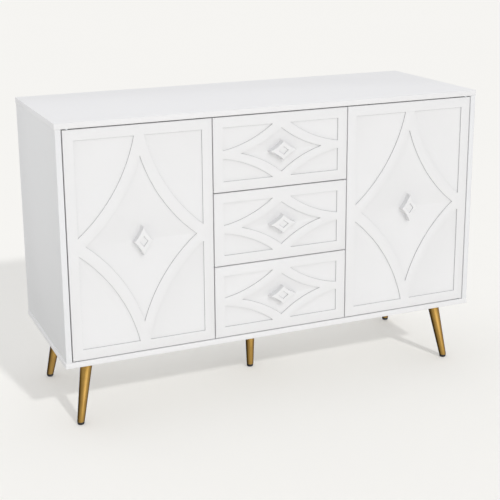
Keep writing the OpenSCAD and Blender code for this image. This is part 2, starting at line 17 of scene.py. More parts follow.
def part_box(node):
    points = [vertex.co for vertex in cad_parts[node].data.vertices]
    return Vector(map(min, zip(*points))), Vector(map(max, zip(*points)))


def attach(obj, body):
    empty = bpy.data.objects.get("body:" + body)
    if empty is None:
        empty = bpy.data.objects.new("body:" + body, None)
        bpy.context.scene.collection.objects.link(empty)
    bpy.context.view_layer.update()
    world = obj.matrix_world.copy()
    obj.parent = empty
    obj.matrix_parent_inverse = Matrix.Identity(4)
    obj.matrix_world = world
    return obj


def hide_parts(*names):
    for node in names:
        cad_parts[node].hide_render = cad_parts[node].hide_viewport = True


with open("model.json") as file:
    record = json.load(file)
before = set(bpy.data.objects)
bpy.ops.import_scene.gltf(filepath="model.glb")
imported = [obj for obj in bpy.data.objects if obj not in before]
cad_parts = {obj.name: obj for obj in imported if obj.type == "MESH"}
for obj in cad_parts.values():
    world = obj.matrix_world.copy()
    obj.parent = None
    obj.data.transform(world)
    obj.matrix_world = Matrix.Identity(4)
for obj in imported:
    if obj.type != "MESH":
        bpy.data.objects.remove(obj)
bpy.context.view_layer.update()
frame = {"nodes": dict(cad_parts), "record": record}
MM = 0.001

# %% [markdown]
# ## Two small helpers for finishes
# Paint makers give colours as sRGB hex values, while shaders work in linear light, so one
# function turns one into the other. A second one adds a shader node: its settings come as
# keywords, and its inputs as a table of constants or of other nodes' outputs.

# %% Colour and node helpers
def linear(hex_colour):
    channels = [int(hex_colour[i:i + 2], 16) / 255 for i in (1, 3, 5)]
    return tuple(c / 12.92 if c <= 0.04045 else ((c + 0.055) / 1.055) ** 2.4
                 for c in channels) + (1.0,)


def add(tree, kind, inputs=None, **settings):
    made = tree.nodes.new(kind)
    for name, value in settings.items():
        setattr(made, name, value)
    for key, value in (inputs or {}).items():
        if isinstance(value, bpy.types.NodeSocket):
            tree.links.new(value, made.inputs[key])
        else:
            made.inputs[key].default_value = value
    return made


def new_material(name):
    material = bpy.data.materials.new(name)
    material.use_nodes = True
    material.node_tree.nodes.clear()
    return material, material.node_tree


def finish_material(tree, shader):
    add(tree, "ShaderNodeOutputMaterial", {"Surface": shader.outputs["BSDF"]})


print("white board in linear light:", [round(c, 3) for c in linear("#F4F4F2")[:3]])

# %% [markdown]
# ## Satin white lacquer
# The boards and fronts are fibreboard, primed, sanded and sprayed with a satin white lacquer.
# Sprayed lacquer is never a flat colour: the film drifts a little in tone over a hand's breadth,
# dries with a fine orange peel, and its gloss varies where it went on thicker. Three noises at
# real sizes give these: tone over 220 mm, gloss over 35 mm and peel at 2.5 mm. Real peel is
# about 1 mm, and it is drawn coarser so that it shows at the size of a catalogue picture.
#
# Two optional tones shape the white further, and both are painted shade. The first is laid on
# faces that point straight sideways: it gives the cabinet's flanks a greyer white than their
# edges, standing in for the lesser light that reaches them. The second, a grey, is mixed in on the
# steep walls of pockets and knobs as far as a face attribute gives, and paints shade into these
# recesses: white on white in soft light would hardly show them.

# %% Lacquer
SIDEWAYS = 0.95


def lacquer(name, light, dark, gloss, flank_shade=None, wall=None):
    material, tree = new_material(name)
    place = add(tree, "ShaderNodeTexCoord").outputs["Object"]
    tone = add(tree, "ShaderNodeTexNoise",
               {"Vector": place, "Scale": 1 / (220 * MM), "Detail": 3.0, "Roughness": 0.5})
    colour = add(tree, "ShaderNodeMix",
                 {0: tone.outputs["Fac"], 6: linear(dark), 7: linear(light)}, data_type="RGBA")
    # Painted shade: faces that point straight sideways take the greyer flank tone.
    if flank_shade:
        normal = add(tree, "ShaderNodeSeparateXYZ",
                     {0: add(tree, "ShaderNodeNewGeometry").outputs["True Normal"]})
        sideways = add(tree, "ShaderNodeMath", {0: normal.outputs["X"]}, operation="ABSOLUTE")
        on_face = add(tree, "ShaderNodeMath", {0: sideways.outputs[0], 1: SIDEWAYS},
                      operation="GREATER_THAN")
        colour = add(tree, "ShaderNodeMix",
                     {0: on_face.outputs[0], 6: colour.outputs[2], 7: linear(flank_shade)},
                     data_type="RGBA")
    # Painted shade: the grey wall tone darkens pocket and knob walls by each face's share.
    if wall:
        share = add(tree, "ShaderNodeAttribute", attribute_name="wall_shade_share").outputs["Fac"]
        colour = add(tree, "ShaderNodeMix",
                     {0: share, 6: colour.outputs[2], 7: linear(wall)}, data_type="RGBA")
    film = add(tree, "ShaderNodeTexNoise",
               {"Vector": place, "Scale": 1 / (35 * MM), "Detail": 2.0})
    rough = add(tree, "ShaderNodeMapRange",
                {"Value": film.outputs["Fac"], "From Min": 0.3, "From Max": 0.7,
                 "To Min": gloss - 0.04, "To Max": gloss + 0.04})
    peel = add(tree, "ShaderNodeTexNoise",
               {"Vector": place, "Scale": 1 / (2.5 * MM), "Detail": 1.0, "Roughness": 0.4})
    bump = add(tree, "ShaderNodeBump",
               {"Height": peel.outputs["Fac"], "Strength": 0.05, "Distance": 0.15 * MM})
    shader = add(tree, "ShaderNodeBsdfPrincipled",
                 {"Base Color": colour.outputs[2], "Roughness": rough.outputs["Result"],
                  "IOR": 1.5, "Coat Weight": 0.15, "Coat Roughness": 0.3,
                  "Normal": bump.outputs["Normal"]})
    finish_material(tree, shader)
    return material


satin_lacquer = lacquer("satin_white_lacquer", "#F6F6F7", "#F3F3F4", 0.42)
# The side boards' flanks carry a painted shade: a greyer white than their edges.
side_lacquer = lacquer("satin_white_side_lacquer", "#F3F4F6", "#F0F1F3", 0.42, flank_shade="#EFF0F1")
# Fronts and knobs carry the grey wall tone: painted shade on the walls of their recesses.
front_lacquer = lacquer("satin_white_front_lacquer", "#F3F3F4", "#F1F1F2", 0.40, wall="#C6C7C8")
knob_lacquer = lacquer("satin_white_knob_lacquer", "#F3F3F4", "#F1F1F2", 0.36, wall="#C6C7C8")
print("made", satin_lacquer.name, side_lacquer.name, front_lacquer.name, knob_lacquer.name)

# %% [markdown]
# ## Melamine and white-faced hardboard
# Inside, the partitions, shelves and drawer boxes are chipboard pressed with white melamine
# paper: flatter than lacquer, with an even tooth drawn 1.6 mm across. The back panel and the
# drawer bottoms are thin hardboard with a white printed face: duller, faintly mottled over 45 mm,
# and with a coarser tooth of 2.4 mm.

# %% Pressed boards
def pressed_board(name, light, dark, gloss, mottle_mm, tooth_mm):
    material, tree = new_material(name)
    place = add(tree, "ShaderNodeTexCoord").outputs["Object"]
    mottle = add(tree, "ShaderNodeTexNoise",
                 {"Vector": place, "Scale": 1 / (mottle_mm * MM), "Detail": 5.0,
                  "Roughness": 0.6})
    spread = add(tree, "ShaderNodeMapRange",
                 {"Value": mottle.outputs["Fac"], "From Min": 0.35, "From Max": 0.65})
    colour = add(tree, "ShaderNodeMix",
                 {0: spread.outputs["Result"], 6: linear(dark), 7: linear(light)},
                 data_type="RGBA")
    tooth = add(tree, "ShaderNodeTexVoronoi", {"Vector": place, "Scale": 1 / (tooth_mm * MM)})
    bump = add(tree, "ShaderNodeBump",
               {"Height": tooth.outputs["Distance"], "Strength": 0.08, "Distance": 0.1 * MM})
    shader = add(tree, "ShaderNodeBsdfPrincipled",
                 {"Base Color": colour.outputs[2], "Roughness": gloss, "IOR": 1.5,
                  "Normal": bump.outputs["Normal"]})
    finish_material(tree, shader)
    return material


melamine = pressed_board("white_melamine_board", "#F2F2F1", "#F0F0EF", 0.48, 120, 1.6)
hardboard = pressed_board("white_faced_hardboard", "#EFEFEE", "#EBEBEA", 0.62, 45, 2.4)
print("made", melamine.name, hardboard.name)

# %% [markdown]
# ## Brushed brass tone
# The legs are drawn steel tube, brushed along its length, brass plated and clear lacquered. The
# eye sees a warm gold whose highlight is drawn out along the leg, with hairlines that run with
# it. Each leg keeps its own straight coordinates in an attribute, so that the hairlines follow
# its slant: about 0.5 mm across and 60 mm long, with real hairlines being finer than that. The
# metal's tint darkens to brown at a glancing angle, and the clear coat lays a paler highlight on.

# %% Brass
def brushed_brass(name):
    material, tree = new_material(name)
    place = add(tree, "ShaderNodeAttribute", attribute_name="leg_place").outputs["Vector"]
    across, along = 1 / (0.5 * MM), 1 / (60 * MM)
    stretched = add(tree, "ShaderNodeMapping", {"Vector": place, "Scale": (across, across, along)})
    hairline = add(tree, "ShaderNodeTexNoise",
                   {"Vector": stretched.outputs["Vector"], "Scale": 1.0, "Detail": 2.0})
    tarnish = add(tree, "ShaderNodeTexNoise",
                  {"Vector": place, "Scale": 1 / (40 * MM), "Detail": 3.0})
    shade = add(tree, "ShaderNodeMath",
                {0: hairline.outputs["Fac"], 1: tarnish.outputs["Fac"]}, operation="MULTIPLY")
    spread = add(tree, "ShaderNodeMapRange",
                 {"Value": shade.outputs[0], "From Min": 0.12, "From Max": 0.4})
    colour = add(tree, "ShaderNodeMix",
                 {0: spread.outputs["Result"], 6: linear("#96701F"), 7: linear("#AC852E")},
                 data_type="RGBA")
    rough = add(tree, "ShaderNodeMapRange",
                {"Value": hairline.outputs["Fac"], "From Min": 0.3, "From Max": 0.7,
                 "To Min": 0.30, "To Max": 0.40})
    bump = add(tree, "ShaderNodeBump",
               {"Height": hairline.outputs["Fac"], "Strength": 0.12, "Distance": 0.05 * MM})
    shader = add(tree, "ShaderNodeBsdfPrincipled",
                 {"Base Color": colour.outputs[2], "Metallic": 1.0,
                  "Roughness": rough.outputs["Result"], "Specular Tint": linear("#96602A"),
                  "Coat Weight": 0.7, "Coat Roughness": 0.2, "Coat IOR": 1.6,
                  "Normal": bump.outputs["Normal"]})
    finish_material(tree, shader)
    return material


brass = brushed_brass("brushed_brass_plate")
print("made", brass.name)

# %% [markdown]
# ## Fittings: zinc, plastic and rubber
# Runners, plates, screws and cams are bright zinc-plated steel: a cool grey metal with faint
# cloudy patches a few millimetres across. Glides are black moulded polypropylene, bushings are
# nylon, the catches grey plastic and the bumpers clear-grey rubber. Moulded plastic takes a fine
# grain from its tool, here 0.9 mm across.

# %% Zinc and moulded plastics
def zinc_plate(name, light, dark, gloss, cloud_mm):
    material, tree = new_material(name)
    place = add(tree, "ShaderNodeTexCoord").outputs["Object"]
    cloud = add(tree, "ShaderNodeTexNoise",
                {"Vector": place, "Scale": 1 / (cloud_mm * MM), "Detail": 4.0, "Roughness": 0.6})
    colour = add(tree, "ShaderNodeMix",
                 {0: cloud.outputs["Fac"], 6: linear(dark), 7: linear(light)}, data_type="RGBA")
    rough = add(tree, "ShaderNodeMapRange",
                {"Value": cloud.outputs["Fac"], "From Min": 0.3, "From Max": 0.7,
                 "To Min": gloss - 0.06, "To Max": gloss + 0.06})
    shader = add(tree, "ShaderNodeBsdfPrincipled",
                 {"Base Color": colour.outputs[2], "Metallic": 1.0,
                  "Roughness": rough.outputs["Result"]})
    finish_material(tree, shader)
    return material


def moulded(name, light, dark, gloss, ior, grain_strength):
    material, tree = new_material(name)
    place = add(tree, "ShaderNodeTexCoord").outputs["Object"]
    grain = add(tree, "ShaderNodeTexNoise",
                {"Vector": place, "Scale": 1 / (0.9 * MM), "Detail": 2.0})
    colour = add(tree, "ShaderNodeMix",
                 {0: grain.outputs["Fac"], 6: linear(dark), 7: linear(light)}, data_type="RGBA")
    bump = add(tree, "ShaderNodeBump",
               {"Height": grain.outputs["Fac"], "Strength": grain_strength, "Distance": 0.1 * MM})
    shader = add(tree, "ShaderNodeBsdfPrincipled",
                 {"Base Color": colour.outputs[2], "Roughness": gloss, "IOR": ior,
                  "Normal": bump.outputs["Normal"]})
    finish_material(tree, shader)
    return material


finish_of_slot = {
    "white_panels": melamine,
    "white_fronts": front_lacquer,
    "white_board": hardboard,
    "white_knobs": knob_lacquer,
    "brass_legs": brass,
    "black_plastic": moulded("black_moulded_polypropylene", "#121212", "#0A0A0A", 0.5, 1.49, 0.2),
    "runner_steel": zinc_plate("zinc_plated_runner_steel", "#C6C9CB", "#B2B5B8", 0.34, 9),
    "plate_steel": zinc_plate("zinc_plated_leg_plate", "#BFC2C4", "#A6A9AC", 0.38, 7),
    "zinc_steel": zinc_plate("zinc_plated_fastener", "#CBCDCF", "#B5B8BB", 0.28, 4),
    "nylon": moulded("white_nylon", "#E9E9E4", "#E1E1DC", 0.42, 1.53, 0.1),
    "grey_plastic": moulded("pale_grey_abs", "#CFCFCC", "#C6C6C3", 0.45, 1.53, 0.2),
    "rubber_pads": moulded("soft_grey_rubber", "#C9C9C5", "#BFBFBB", 0.7, 1.52, 0.15),
}
for row in frame["record"]["subparts"]:
    slots = frame["nodes"][row["node"]].data.materials
    slots.clear()
    slots.append(finish_of_slot[row["material_slot"]])

# %% [markdown]
# ## Making a piece
# Each new piece is drawn in one bmesh, in place. `make_piece` turns it into an object at the
# origin, shades curved faces smooth and leaves flat ones flat, gives it its finish, hangs it on
# the empty of the body it rides on, and hides the frame's node that it stands for.

# %% From bmesh to piece
FLAT = 0.99995
WELD = 0.001 * MM
SHARP_ANGLE = math.radians(50)


def make_piece(name, bm, body, replaced, finish):
    bmesh.ops.remove_doubles(bm, verts=bm.verts[:], dist=WELD)
    bmesh.ops.recalc_face_normals(bm, faces=bm.faces[:])
    for face in bm.faces:
        face.smooth = max(abs(c) for c in face.normal) < FLAT
    open_edges = sum(len(edge.link_faces) != 2 for edge in bm.edges)
    mesh = bpy.data.meshes.new(name)
    bm.to_mesh(mesh)
    bm.free()
    mesh.set_sharp_from_angle(angle=SHARP_ANGLE)
    mesh.materials.append(finish)
    piece = bpy.data.objects.new(name, mesh)
    bpy.context.scene.collection.objects.link(piece)
    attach(piece, body)
    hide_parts(replaced)
    print(f"{name}: {len(mesh.polygons)} faces, {open_edges} open edges")
    return piece


def softened_box(bm, low, high, round_mm):
    size, middle = high - low, (low + high) / 2
    place = Matrix.Translation(middle) @ Matrix.Diagonal(size.to_4d())
    corners = bmesh.ops.create_cube(bm, size=1.0, matrix=place)["verts"]
    edges = list({edge for corner in corners for edge in corner.link_edges})
    bmesh.ops.bevel(bm, geom=edges, offset=round_mm * MM, offset_type="OFFSET", segments=3,
                    profile=0.5, affect="EDGES", material=-1)


# %% [markdown]
# ## Top, bottom and sides
# These are plain boards whose edges are eased with a fine cutter before lacquering, so each one
# starts as a box and has its edges rounded by 0.8 mm. All four carry a shallow rebate at the
# back, which the back panel sits in. One block with the rebate's size is taken away from each
# board with a boolean, just as one pass of a rebate cutter would run round the assembled frame.

# %% Cabinet boards
EASED = 0.8
BACK_PANEL_GAP, RUN_OUT = 0.05 * MM, 2 * MM
back_low, back_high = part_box("back_panel")


def take_away(piece, low, high):
    bm = bmesh.new()
    place = Matrix.Translation((low + high) / 2) @ Matrix.Diagonal((high - low).to_4d())
    bmesh.ops.create_cube(bm, size=1.0, matrix=place)
    mesh = bpy.data.meshes.new("cutter")
    bm.to_mesh(mesh)
    bm.free()
    cutter = bpy.data.objects.new("cutter", mesh)
    bpy.context.scene.collection.objects.link(cutter)
    cut = piece.modifiers.new("Rebate", "BOOLEAN")
    cut.operation, cut.solver, cut.object = "DIFFERENCE", "EXACT", cutter
    evaluated = piece.evaluated_get(bpy.context.evaluated_depsgraph_get())
    piece.data = bpy.data.meshes.new_from_object(evaluated)
    piece.modifiers.clear()
    bpy.data.objects.remove(cutter)


clearance = Vector((BACK_PANEL_GAP, BACK_PANEL_GAP, BACK_PANEL_GAP))
for node_name in ("top_panel", "bottom_panel", "left_side", "right_side"):
    low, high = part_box(node_name)
    bm = bmesh.new()
    softened_box(bm, low, high, EASED)
    finish = side_lacquer if node_name.endswith("side") else satin_lacquer
    board = make_piece(node_name + "_board", bm, "cabinet", node_name, finish)
    take_away(board, back_low - clearance, back_high + clearance + Vector((0, RUN_OUT, 0)))
    print("  size in mm:", [round(x / MM, 1) for x in high - low])

# %% [markdown]
# ## The fronts and their sunk pattern
# On the real doors and drawer fronts a router sinks five pockets 3 mm deep into one board: a
# concave star in the middle and a curved triangle in each corner, which leaves a raised band
# between them. One way would be a boolean for each pocket, but insets give cleaner walls: the
# pockets' outlines are drawn on the front, arcs by spinning a point round its centre, the land
# between them is filled, and each pocket is pushed in by a chain of small insets that round its
# rim, drop its wall and round its floor. That is the path that a ball-nosed cutter leaves.

# %% Outlines and pockets
ARC_STEP = 6.3 * MM
OUTLINE_WELD = 0.01 * MM
ROUND_STEPS = 3


def arc_centre(p, q, radius):
    """Centre of the arc from p to q that bulges towards the pattern's middle."""
    middle, chord = (p + q) / 2, q - p
    outwards = Vector((chord.y, -chord.x)).normalized()
    if outwards.dot(middle) < 0:
        outwards.negate()
    return middle + outwards * math.sqrt(radius ** 2 - chord.length_squared / 4)


def draw_outline(bm, to_front, points, curved, radius):
    """Edges of a closed outline on the front; curved says which of its sides are arcs."""
    before = set(bm.verts)
    for i, start in enumerate(points):
        end = points[(i + 1) % len(points)]
        first = bm.verts.new(to_front(start))
        if curved[i]:
            centre = arc_centre(start, end, radius)
            a, b = start - centre, end - centre
            turn = math.atan2(a.x * b.y - a.y * b.x, a.dot(b))
            bmesh.ops.spin(bm, geom=[first], cent=to_front(centre), axis=(0, -1, 0),
                           dvec=(0, 0, 0), angle=turn,
                           steps=round(abs(turn) * radius / ARC_STEP), use_merge=False)
        else:
            bm.edges.new((first, bm.verts.new(to_front(end))))
    bmesh.ops.remove_doubles(bm, verts=[v for v in bm.verts if v not in before],
                             dist=OUTLINE_WELD)
    return [e for v in bm.verts if v not in before for e in v.link_edges if e.verts[0] == v]


def quarter_round(radius):
    """Steps of (inwards, down) round a rim, from level to upright."""
    angles = [math.pi / 2 * i / ROUND_STEPS for i in range(ROUND_STEPS + 1)]
    return [(radius * (math.sin(b) - math.sin(a)), radius * (math.cos(a) - math.cos(b)))
            for a, b in zip(angles, angles[1:])]


def pocket_profile(depth, rim, cove, draft):
    """A rounded rim, a wall that leans in by draft, and a rounded foot."""
    wall = [(draft, depth - rim - cove)]
    return quarter_round(rim) + wall + quarter_round(cove)[::-1]


def sink(bm, face, profile):
    """Pushes a front face in by a chain of insets, and marks the steps after the rim for the
    painted wall shade.
    """
    share = bm.faces.layers.float["wall_shade_share"]
    face.normal_update()
    if face.normal.y > 0:
        face.normal_flip()
    for i, (inwards, along) in enumerate(profile):
        step = bmesh.ops.inset_region(bm, faces=[face], use_boundary=True, use_even_offset=True,
                                      thickness=inwards * MM, depth=-along * MM)
        for side in step["faces"]:
            # The wall and the rounded foot take the painted shade in full, the rounded rim none.
            side[share] = float(i >= ROUND_STEPS)


print("rim steps in mm:", [(round(a, 2), round(b, 2)) for a, b in quarter_round(0.5)])

# %% Fronts
FRONT_EASED = 0.6
BORDER = 26.5 * MM
POCKET_RIM, POCKET_COVE, POCKET_DRAFT, POCKET_DEPTH = 0.5, 0.6, 0.1, 3.0
# Distances from the border: star tips (side, end) and corner pockets (end, side), then the arc
DOOR_PATTERN = {"tips": (18 * MM, 50 * MM), "corner": (13 * MM, 22 * MM), "arc": 444 * MM}
DRAWER_PATTERN = {"tips": (48 * MM, 12 * MM), "corner": (24 * MM, 10 * MM), "arc": 307 * MM}


def front_outlines(half, pattern):
    """Outlines of the five pockets round the front's middle, as (points, curved sides)."""
    field = half - Vector((BORDER, BORDER))
    a, b = field.x - pattern["tips"][0], field.y - pattern["tips"][1]
    outlines = [([Vector((a, 0)), Vector((0, b)), Vector((-a, 0)), Vector((0, -b))], [True] * 4)]
    p, q = pattern["corner"]
    for sx, sy in ((1, 1), (-1, 1), (-1, -1), (1, -1)):
        corner = [Vector((sx * p, sy * field.y)), Vector((sx * field.x, sy * field.y)),
                  Vector((sx * field.x, sy * q))]
        outlines.append((corner, [False, False, True]))
    return outlines


def make_front(name, node_name, body, pattern):
    low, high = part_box(node_name)
    middle = (low + high) / 2
    half = Vector((high.x - low.x, high.z - low.z)) / 2

    def to_front(p):
        return Vector((middle.x + p.x, low.y, middle.z + p.y))

    bm = bmesh.new()
    bm.faces.layers.float.new("wall_shade_share")
    softened_box(bm, low, high, FRONT_EASED)
    face = min(bm.faces, key=lambda f: f.calc_center_median().y)
    rim = list(face.edges)
    bmesh.ops.delete(bm, geom=[face], context="FACES_ONLY")
    outlines = [draw_outline(bm, to_front, points, curved, pattern["arc"])
                for points, curved in front_outlines(half, pattern)]
    bmesh.ops.triangle_fill(bm, use_beauty=True, use_dissolve=False, normal=(0, -1, 0),
                            edges=rim + [edge for outline in outlines for edge in outline])
    profile = pocket_profile(POCKET_DEPTH, POCKET_RIM, POCKET_COVE, POCKET_DRAFT)
    for outline in outlines:
        pocket = bmesh.ops.edgeloop_fill(bm, edges=outline)["faces"][0]
        sink(bm, pocket, profile)
    return make_piece(name, bm, body, node_name, front_lacquer)


for side in ("left", "right"):
    make_front(f"{side}_door_front", f"{side}_door", f"{side}_door", DOOR_PATTERN)
for i in (1, 2, 3):
    make_front(f"drawer_{i}_face", f"drawer_{i}_front", f"drawer_{i}", DRAWER_PATTERN)

# %% [markdown]
# ## Star knobs
# A knob is a small milled or cast block: a four-pointed star with hollow sides that lean in a
# little, blunt tips, a softened upper edge, and a rhombus sunk into its face. Its tips are so
# acute that a chain of insets would fold over itself there. So every level of the wall is drawn
# on its own instead: the arcs keep their centres while their radius grows, which moves the whole
# outline in by the same distance. Neighbouring levels are then joined with faces. The knob
# stands upright on a door and lies on its side on a drawer.

# %% Knobs
KNOB_ARC = 96 * MM
# Knob walls take about a third of the painted wall shade.
KNOB_WALL_SHADE_SHARE = 0.35
KNOB_LEAN, KNOB_EASED, KNOB_BLUNT = 0.9 * MM, 0.7 * MM, 0.7 * MM
RECESS_LONG, RECESS_SHORT, RECESS_DEPTH = 30 * MM, 23 * MM, 2.5
RECESS_RIM, RECESS_COVE, RECESS_DRAFT = 0.4, 0.4, 0.5
SIDE_STEPS, TIP_STEPS, EASE_STEPS = 24, 4, 4


def arc_points(centre, radius, start, end, steps):
    angles = [start + (end - start) * i / steps for i in range(steps + 1)]
    return [centre + radius * Vector((math.cos(t), math.sin(t))) for t in angles]


def star_outline(a, b, inset):
    """A star with half sizes a and b, moved in by inset, its tips rounded by KNOB_BLUNT."""
    centre = arc_centre(Vector((a, 0)), Vector((0, b)), KNOB_ARC)
    side, reach = KNOB_ARC + inset, KNOB_ARC + inset + KNOB_BLUNT
    tip_x = Vector((centre.x - math.sqrt(reach ** 2 - centre.y ** 2), 0))
    tip_y = Vector((0, centre.y - math.sqrt(reach ** 2 - centre.x ** 2)))
    to_x, to_y = (math.atan2(*(centre - tip).yx) for tip in (tip_x, tip_y))
    quarter = (arc_points(tip_x, KNOB_BLUNT, 0, to_x, TIP_STEPS)
               + arc_points(centre, side, math.pi + to_x, math.pi + to_y, SIDE_STEPS)[1:-1]
               + arc_points(tip_y, KNOB_BLUNT, to_y, math.pi / 2, TIP_STEPS))
    half = quarter + [Vector((-p.x, p.y)) for p in quarter[-2::-1]]
    return half + [Vector((p.x, -p.y)) for p in half[-2:0:-1]]


def make_knob(name, node_name, body):
    low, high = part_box(node_name)
    middle = (low + high) / 2
    a, b = (high.x - low.x) / 2, (high.z - low.z) / 2
    level = [(0, 0)]
    for i in range(EASE_STEPS + 1):
        turn = math.pi / 2 * i / EASE_STEPS
        level.append((KNOB_LEAN + KNOB_EASED * (1 - math.cos(turn)),
                      high.y - low.y - KNOB_EASED * (1 - math.sin(turn))))
    bm = bmesh.new()
    share = bm.faces.layers.float.new("wall_shade_share")
    rings = [[bm.verts.new((middle.x + p.x, high.y - up, middle.z + p.y))
              for p in star_outline(a, b, inset)] for inset, up in level]
    for lower, upper in zip(rings, rings[1:]):
        for i, vert in enumerate(lower):
            bm.faces.new((lower[i - 1], vert, upper[i], upper[i - 1]))[share] = KNOB_WALL_SHADE_SHARE
    bm.faces.new(rings[0])
    rim = [bm.edges.get((rings[-1][i - 1], vert)) for i, vert in enumerate(rings[-1])]
    u, v = (RECESS_LONG, RECESS_SHORT) if a > b else (RECESS_SHORT, RECESS_LONG)
    rhombus = [Vector((u / 2, 0)), Vector((0, v / 2)), Vector((-u / 2, 0)), Vector((0, -v / 2))]
    recess = draw_outline(bm, lambda p: Vector((middle.x + p.x, low.y, middle.z + p.y)),
                          rhombus, [False] * 4, 0)
    bmesh.ops.triangle_fill(bm, use_beauty=True, use_dissolve=False, normal=(0, -1, 0),
                            edges=rim + recess)
    floor = bmesh.ops.edgeloop_fill(bm, edges=recess)["faces"][0]
    sink(bm, floor, pocket_profile(RECESS_DEPTH, RECESS_RIM, RECESS_COVE, RECESS_DRAFT))
    return make_piece(name, bm, body, node_name, knob_lacquer)


for side in ("left", "right"):
    make_knob(f"{side}_door_star_knob", f"{side}_door_knob", f"{side}_door")
for i in (1, 2, 3):
    make_knob(f"drawer_{i}_star_knob", f"drawer_{i}_knob", f"drawer_{i}")

# %% [markdown]
# ## Legs
# Each leg is a tapered tube that leans outwards and is cut level at both ends. A cone is made
# upright, a little too long, and tilted onto the line from its foot to its top; two level cuts
# then trim it, and its ends are closed and eased. The upright coordinates are kept on its points
# for the brushing.

# %% Tapered legs
LEG_HEIGHT, GLIDE_HEIGHT, PLATE_THICKNESS = 180 * MM, 8 * MM, 2.5 * MM
LEG_TOP_D, LEG_FOOT_D = 33 * MM, 19 * MM
FOOT_X, FOOT_Y, LEAN_X, LEAN_Y = 558 * MM, 172 * MM, 32 * MM, 25 * MM
LEG_SIDES = 96
LEG_SPARE, LEG_EASED = 20 * MM, 0.4 * MM
LEGS = {"front_left_leg": (-1, -1), "front_right_leg": (1, -1), "rear_left_leg": (-1, 1),
        "rear_right_leg": (1, 1), "centre_leg": (0, 0)}


def leg_line(signs):
    foot = Vector((signs[0] * FOOT_X, signs[1] * FOOT_Y, 0))
    return foot, foot - Vector((signs[0] * LEAN_X, signs[1] * LEAN_Y, -LEG_HEIGHT))


def make_leg(node_name, signs):
    foot, top = leg_line(signs)
    axis = top - foot
    length = axis.length
    slope = (LEG_TOP_D - LEG_FOOT_D) / length
    tilt = Matrix.Translation(foot) @ axis.to_track_quat("Z", "Y").to_matrix().to_4x4()
    bm = bmesh.new()
    bmesh.ops.create_cone(bm, cap_ends=False, segments=LEG_SIDES,
                          radius1=(LEG_FOOT_D - slope * LEG_SPARE) / 2,
                          radius2=(LEG_TOP_D + slope * LEG_SPARE) / 2,
                          depth=length + 2 * LEG_SPARE,
                          matrix=tilt @ Matrix.Translation((0, 0, length / 2)))
    for z, up in ((GLIDE_HEIGHT, -1), (LEG_HEIGHT - PLATE_THICKNESS, 1)):
        cut = bmesh.ops.bisect_plane(bm, geom=bm.verts[:] + bm.edges[:] + bm.faces[:],
                                     plane_co=(0, 0, z), plane_no=(0, 0, up), clear_outer=True)
        rim = [g for g in cut["geom_cut"] if isinstance(g, bmesh.types.BMEdge)]
        bmesh.ops.edgeloop_fill(bm, edges=rim)
        bmesh.ops.bevel(bm, geom=rim, offset=LEG_EASED, segments=2, profile=0.5,
                        affect="EDGES", material=-1)
    place = bm.verts.layers.float_vector.new("leg_place")
    upright = tilt.inverted()
    for vert in bm.verts:
        vert[place] = upright @ vert.co
    return make_piece(node_name + "_tube", bm, "cabinet", node_name, brass)


for node_name, signs in LEGS.items():
    make_leg(node_name, signs)

# %% [markdown]
# ## Glides
# A black plastic foot closes each leg and meets the floor. It is a round moulding with a generous
# radius underneath, so its half profile is drawn once and spun about its own upright axis.

# %% Glides
GLIDE_ROUND = 4.5 * MM
ROUND_ANGLES = [math.radians(angle) for angle in range(0, 91, 15)]
SPIN_STEPS = 64
bm = bmesh.new()
for signs in LEGS.values():
    foot, top = leg_line(signs)
    head = foot + (top - foot) * (GLIDE_HEIGHT / LEG_HEIGHT)
    centre = Vector((head.x, head.y, 0))
    radius = LEG_FOOT_D / 2
    heights = [GLIDE_ROUND * (1 - math.cos(angle)) for angle in ROUND_ANGLES]
    reach = [radius - GLIDE_ROUND * (1 - math.sin(angle)) for angle in ROUND_ANGLES]
    half_profile = [(0, 0), *zip(reach, heights), (radius, GLIDE_HEIGHT), (0, GLIDE_HEIGHT)]
    points = [bm.verts.new(centre + Vector((x, 0, z))) for x, z in half_profile]
    edges = [bm.edges.new(pair) for pair in zip(points, points[1:])]
    bmesh.ops.spin(bm, geom=points + edges, cent=centre, axis=(0, 0, 1), dvec=(0, 0, 0),
                   angle=2 * math.pi, steps=SPIN_STEPS, use_merge=True)
make_piece("black_glides", bm, "cabinet", "glides",
           finish_of_slot["black_plastic"])

# %% [markdown]
# ## Studio
# The sideboard stands on a pale seamless floor that gives off a little light of its own, as a
# lit shooting table does. That sets how deep a shadow on it can get.

# %% Floor
FLOOR_HALF_SIZE = 40.0
floor_material, tree = new_material("pale_studio_floor")
place = add(tree, "ShaderNodeTexCoord").outputs["Object"]
sweep = add(tree, "ShaderNodeTexNoise", {"Vector": place, "Scale": 0.5, "Detail": 1.0})
colour = add(tree, "ShaderNodeMix",
             {0: sweep.outputs["Fac"], 6: linear("#E2E1DE"), 7: linear("#E3E2DF")},
             data_type="RGBA")
shader = add(tree, "ShaderNodeBsdfPrincipled",
             {"Base Color": colour.outputs[2], "Roughness": 0.9, "Specular IOR Level": 0.0,
              "Emission Color": linear("#F4F3EF"), "Emission Strength": 0.19})
finish_material(tree, shader)
bm = bmesh.new()
bmesh.ops.create_grid(bm, x_segments=1, y_segments=1, size=FLOOR_HALF_SIZE)
mesh = bpy.data.meshes.new("studio_floor")
bm.to_mesh(mesh)
bm.free()
mesh.materials.append(floor_material)
floor = bpy.data.objects.new("studio_floor", mesh)
bpy.context.scene.collection.objects.link(floor)
floor.visible_glossy = False
print("floor:", tuple(round(d, 1) for d in floor.dimensions))

